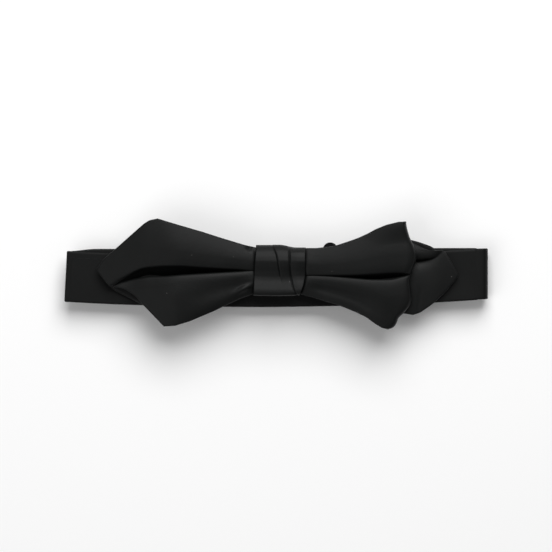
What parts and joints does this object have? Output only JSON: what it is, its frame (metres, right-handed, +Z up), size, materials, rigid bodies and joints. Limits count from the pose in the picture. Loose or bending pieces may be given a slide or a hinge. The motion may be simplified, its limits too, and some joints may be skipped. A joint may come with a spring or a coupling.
{
  "type": "pre-tied bow tie",
  "caption": "Pre-tied black satin bow tie with diamond points on an adjustable neckband with slider, hook and eye, folded flat on its back.",
  "frame": {"origin": "under the middle of the folded tie, on the surface that it lies on", "axes": "+Z up, the side of the bow that faces away from the wearer; +X along the band to the wearer's left; +Y towards the wearer's chin"},
  "size_m": [0.1662, 0.0434, 0.017],
  "materials": {
    "satin": "satin weave, soft sheen",
    "satin_band": "satin weave, flat",
    "interlining": "woven wool and cotton, matt",
    "thread": "polyester thread",
    "hardware": "black lacquer, slightly worn"
  },
  "bodies": {
    "bow": {"front_strip_satin": "satin", "front_strip_interlining": "interlining", "rear_strip_satin": "satin", "rear_strip_interlining": "interlining", "knot_wrap": "satin", "knot_interlining": "interlining", "knot_seam_stitches": "thread", "pleat_tacks": "thread", "neckband_satin": "satin_band", "neckband_interlining": "interlining", "neckband_topstitch": "thread", "band_tacks": "thread"},
    "left_return": {"left_fold": "satin_band", "short_strap_satin": "satin_band", "short_strap_interlining": "interlining", "eye_hem": "satin_band", "eye_bar_tack": "thread"},
    "eye": {"clasp_eye": "hardware"},
    "right_return": {"right_fold": "satin_band", "long_strap_satin": "satin_band", "long_strap_interlining": "interlining"},
    "slider": {"slider_frame": "hardware", "slider_strap_end": "satin_band", "slider_bar_tack": "thread"},
    "hook_carriage": {"hook_strap_turn": "satin_band", "strap_return": "satin_band"},
    "hook": {"clasp_hook": "hardware"}
  },
  "joints": [
    {"name": "right_unfold", "type": "hinge", "parent": "bow", "child": "right_return", "pos_m": [0.0792, 0, 0.0049], "axis": [0, -1, 0], "range_deg": [0, 180], "deforming": ["right_fold"]},
    {"name": "left_unfold", "type": "hinge", "parent": "bow", "child": "left_return", "pos_m": [-0.08213, 0, 0.00782], "axis": [0, 1, 0], "range_deg": [0, 180], "deforming": ["left_fold"]},
    {"name": "slider_slide", "type": "slide", "parent": "right_return", "child": "slider", "axis": [-1, 0, 0], "range_m": [0, 0.106], "deforming": ["strap_return"]},
    {"name": "hook_travel", "type": "slide", "parent": "right_return", "child": "hook_carriage", "axis": [-1, 0, 0], "range_m": [0, 0.053], "deforming": ["strap_return"]},
    {"name": "hook_swing", "type": "hinge", "parent": "hook_carriage", "child": "hook", "pos_m": [-0.045, 0, 0.00237], "axis": [0, 1, 0], "range_deg": [-60, 12]},
    {"name": "eye_swing", "type": "hinge", "parent": "left_return", "child": "eye", "pos_m": [-0.059, 0, 0.00637], "axis": [0, 1, 0], "range_deg": [-8, 6]}
  ],
  "couplings": [
    {"joint": "left_unfold", "follows": "right_unfold", "ratio": 1},
    {"joint": "hook_travel", "follows": "slider_slide", "ratio": 0.5}
  ]
}
